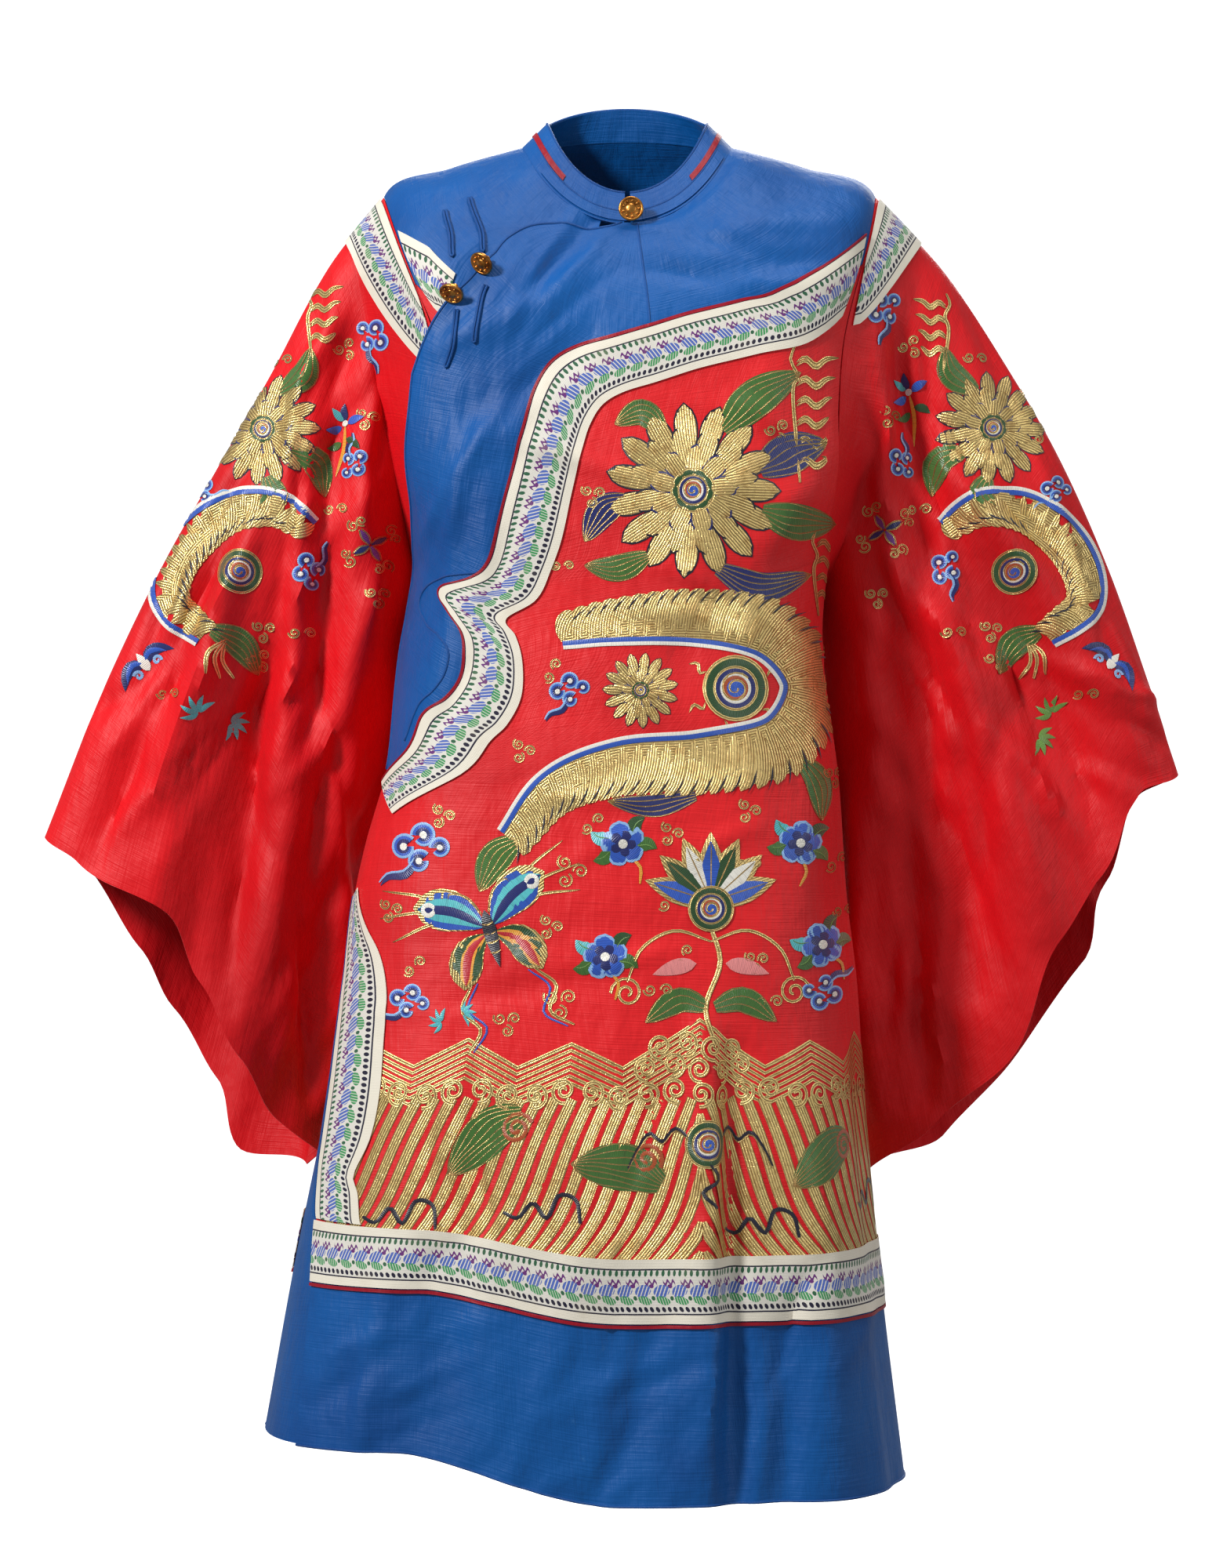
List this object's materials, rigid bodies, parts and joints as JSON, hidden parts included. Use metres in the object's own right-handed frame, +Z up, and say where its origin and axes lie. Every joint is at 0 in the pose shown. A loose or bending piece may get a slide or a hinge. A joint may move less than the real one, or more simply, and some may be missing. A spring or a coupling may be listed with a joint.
{
  "type": "semiformal robe",
  "caption": "Knee-length side-fastening silk robe with wide sleeves, standing collar, shoulder yoke and ribbon trim, as worn.",
  "frame": {"origin": "middle of the neck at the height of the shoulder tops, where the wearer's shoulders hold the robe up", "axes": "+Z up along the body, the front faces -Y, +X is the wearer's left, the right side as seen from in front"},
  "size_m": [0.9432, 0.3304, 1.1371],
  "materials": {
    "red_silk": "red silk satin, embroidered",
    "blue_silk": "blue silk satin",
    "ribbon": "cream woven ribbon with a floral repeat",
    "piping": "dark red silk piping",
    "brass": "worn cast brass"
  },
  "bodies": {
    "root": {"front_panel": "red_silk", "front_flap": "blue_silk", "front_yoke_right": "blue_silk", "front_hem": "blue_silk", "front_yoke_left": "blue_silk", "under_front": "red_silk", "under_front_border": "blue_silk", "back_yoke": "blue_silk", "back_panel": "red_silk", "back_hem": "blue_silk", "sleeve_right": "red_silk", "sleeve_left": "red_silk", "ribbon_front": "ribbon", "ribbon_hem_front": "ribbon", "ribbon_hem_back": "ribbon", "ribbon_back": "ribbon", "ribbon_front_left": "ribbon", "ribbon_vent": "ribbon", "vent_border": "blue_silk", "piping_front": "piping", "piping_hem_front": "piping", "piping_hem_back": "piping", "piping_back": "piping", "piping_flap": "blue_silk", "piping_centre": "blue_silk", "ribbon_sleeve_right": "ribbon", "ribbon_sleeve_left": "ribbon", "collar": "blue_silk", "collar_stripe": "piping", "collar_band": "blue_silk", "frog_outer_upper": "blue_silk", "frog_outer_lower": "blue_silk", "frog_inner_upper": "blue_silk", "frog_inner_lower": "blue_silk", "button_neck": "brass", "button_outer": "brass", "button_inner": "brass"}
  },
  "joints": []
}
